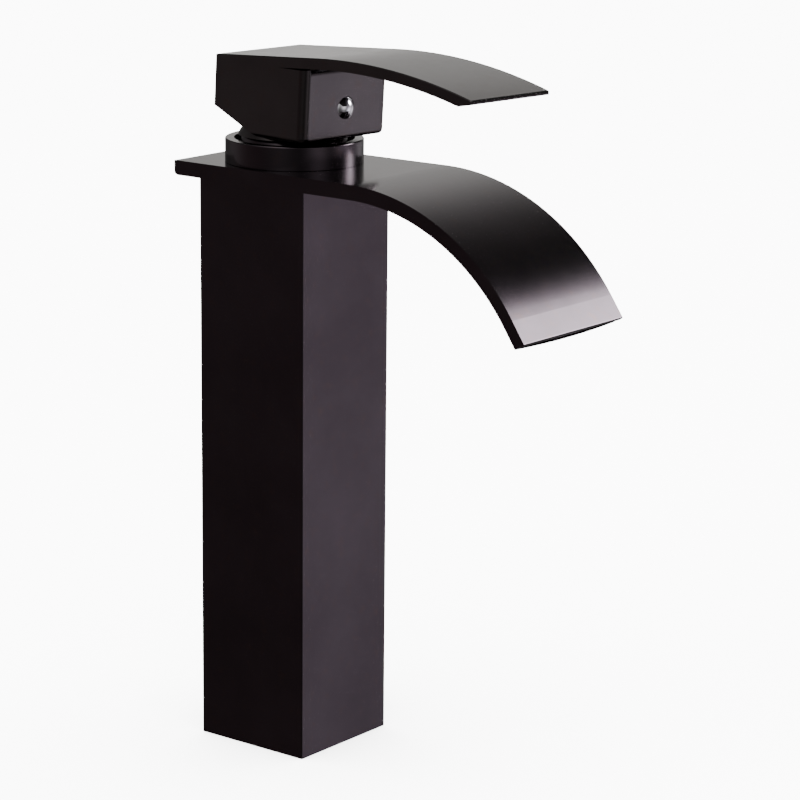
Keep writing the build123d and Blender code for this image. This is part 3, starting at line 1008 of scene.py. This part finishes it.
@dataclass
class Studio:
    """Pale floor, even room light, and the soft tent whose patches the gloss picks up."""

    room_strength: float = 14.0
    room_tint: Colour = (1.0, 1.0, 1.0)
    tent_radius: float = 3.0
    tent_steps: int = 24
    tent_segments: int = 48
    tent_base: float = 0.06
    tent_tint: Colour = (1.0, 0.95, 0.96)
    floor_half: float = 12.0
    floor_gap: float = 0.00005
    glows: tuple[Glow, ...] = (
        Glow((-0.45, 0.77, 0.45), 0.78, 17.0, (1.0, 0.985, 0.955)),
        Glow((-0.66, 0.75, 0.05), 0.95, 7.0, (1.0, 0.98, 0.95)),
        Glow((0.535, 0.748, 0.39), 56.0, 6.3, (0.99, 0.96, 1.0)),
        Glow((0.68, 0.71, -0.15), 0.80, 17.0, (1.03, 0.90, 1.04)),
        Glow((0.82, 0.53, -0.25), 1.00, 11.0, (0.95, 0.95, 1.08)),
        Glow((0.14, 0.96, -0.22), 0.90, 13.0, (1.0, 0.94, 1.0)),
        Glow((-0.60, -0.77, -0.12), 0.09, 28.0, (1.15, 0.78, 0.82)),
        Glow((-0.95, -0.25, 0.10), 0.30, 18.0, (1.0, 0.95, 0.95)),
        Glow((0.30, -0.85, 0.45), 0.70, 20.0, (1.0, 0.97, 0.98)),
        Glow((0.05, -0.35, 0.93), 2.20, 22.0, (1.0, 0.98, 0.97)),
        Glow((1.0, -0.18, 0.12), 0.90, 15.0, (1.0, 0.94, 1.0)),
    )

    def room(self) -> None:
        """Light the room evenly."""
        world = bpy.data.worlds.new("studio_room")
        world.use_nodes = True
        bpy.context.scene.world = world
        graph = Graph(world.node_tree)
        inputs = {"Color": self.room_tint, "Strength": self.room_strength}
        light = graph.node("ShaderNodeBackground", None, inputs)
        graph.node("ShaderNodeOutputWorld", None, {"Surface": light})

    def floor(self) -> None:
        """Lay a sheet of pale paper that the gloss doesn't pick up."""
        square = np.array([[-1.0, -1.0], [1.0, -1.0], [1.0, 1.0], [-1.0, 1.0]]) * self.floor_half
        corners = np.column_stack([square, np.full(len(square), -self.floor_gap)])
        sheet = make_piece("studio_floor", corners, np.array([[0, 1, 2, 3]]))
        sheet.data.materials.append(FloorPaper().material())
        sheet.visible_glossy = False

    def tent(self) -> None:
        """Hang the tent: a sphere that only reflections meet, brighter in a few soft patches.

        Its glow in a direction d is the base plus, for each patch, strength times
        exp(-k (1 - d . middle)).
        """
        angle = np.linspace(math.pi, 0.0, self.tent_steps + 1)
        profile = self.tent_radius * np.stack([np.sin(angle), np.cos(angle)], axis=-1)
        points = lathe(profile, self.tent_segments)
        faces = grid_faces(len(profile), self.tent_segments, False)
        shell = make_piece("studio_tent", points, faces)
        material, graph = new_material("tent_cloth")
        towards = graph.vector("NORMALIZE", {0: graph.place()})
        colour = graph.vector("SCALE", {0: self.tent_tint, "Scale": self.tent_base})
        for glow in self.glows:
            nearness = graph.vector("DOT_PRODUCT", {0: towards, 1: glow.direction()}, "Value")
            level = math.e ** ((nearness - 1.0) * glow.falloff()) * glow.strength
            patch = graph.vector("SCALE", {0: glow.tint, "Scale": level})
            colour = graph.vector("ADD", {0: colour, 1: patch})
        cloth = graph.node("ShaderNodeEmission", None, {"Color": colour, "Strength": 1.0})
        graph.node("ShaderNodeOutputMaterial", None, {"Surface": cloth})
        material.cycles.emission_sampling = "NONE"
        shell.data.materials.append(material)
        shell.visible_camera = False
        shell.visible_diffuse = False
        shell.visible_shadow = False
        shell.visible_transmission = False

    def build(self) -> None:
        """Set the room, the floor and the tent."""
        self.room()
        self.floor()
        self.tent()
        LOG.info("studio: room, floor and tent with %d patches", len(self.glows))


@dataclass
class Viewpoint:
    """Camera from the front right of the spout, a little above it."""

    azimuth_deg: float = 37.9943
    elevation_deg: float = 13.5174
    roll_deg: float = 0.5421
    distance: float = 1.140425
    target: Triple = (0.05131, 0.0, 0.140495)
    focal_mm: float = 138.0093
    sensor_mm: float = 36.0

    def build(self) -> None:
        """Place the camera and make it the scene's own."""
        azimuth = math.radians(self.azimuth_deg)
        elevation = math.radians(self.elevation_deg)
        back = Vector(
            (
                math.sin(azimuth) * math.cos(elevation),
                -math.cos(azimuth) * math.cos(elevation),
                math.sin(elevation),
            )
        )
        right = Vector((math.cos(azimuth), math.sin(azimuth), 0.0))
        basis = Matrix((right, back.cross(right), back)).transposed()
        basis = basis @ Matrix.Rotation(math.radians(self.roll_deg), 3, "Z")
        lens = bpy.data.cameras.new("viewpoint")
        lens.lens = self.focal_mm
        lens.sensor_width = self.sensor_mm
        holder = bpy.data.objects.new("viewpoint", lens)
        bpy.context.scene.collection.objects.link(holder)
        stand = Vector(self.target) + back * self.distance
        holder.matrix_world = Matrix.Translation(stand) @ basis.to_4x4()
        bpy.context.scene.camera = holder
        LOG.info("camera: %.0f mm lens at %.2f m", self.focal_mm, self.distance)


def main() -> None:
    """Build the studio and every sub-assembly, and report each piece."""
    logging.basicConfig(level=logging.INFO, format="%(name)s %(message)s")
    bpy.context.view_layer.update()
    finishes = finish_table()
    parts: Iterable[SubAssembly] = (
        Column(finishes),
        Spout(finishes),
        Neck(finishes),
        Cartridge(finishes),
        Handle(finishes),
    )
    for part in parts:
        part.build()
    Studio().build()
    Viewpoint().build()


if __name__ == "__main__":
    main()
